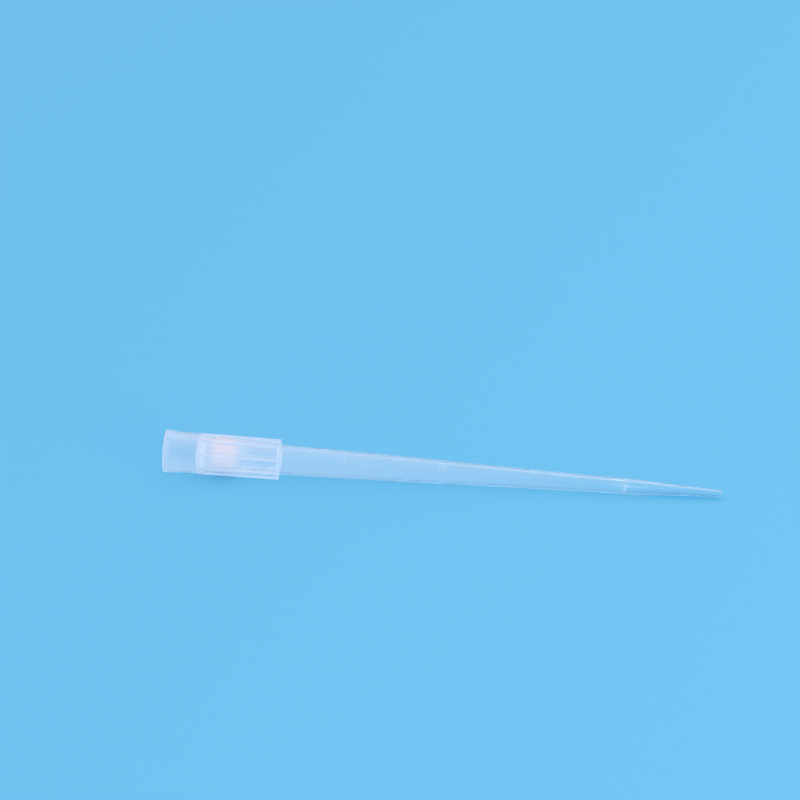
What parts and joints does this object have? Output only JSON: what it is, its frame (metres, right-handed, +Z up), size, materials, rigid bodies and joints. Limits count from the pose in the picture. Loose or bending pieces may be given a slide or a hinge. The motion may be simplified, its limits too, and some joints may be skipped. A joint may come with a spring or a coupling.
{
  "type": "pipette tip",
  "caption": "Long, clear plastic pipette tip: a flared socket, a finned collar with a porous filter plug pressed inside, and a slender cone to a fine point.",
  "frame": {"origin": "on the surface that the tip lies on, under the middle of its length", "axes": "+X along the tip from the mouth to the point, +Z up; the tip's own axis leans down towards the point by 1.8 degrees"},
  "size_m": [0.1021, 0.008, 0.0081],
  "materials": {
    "tip_body": "natural polypropylene, translucent, smooth from the mould",
    "filter_plug": "sintered porous polyethylene, pinkish white, matt"
  },
  "bodies": {
    "root": {"tip_body": "tip_body", "filter_plug": "filter_plug"}
  },
  "joints": []
}
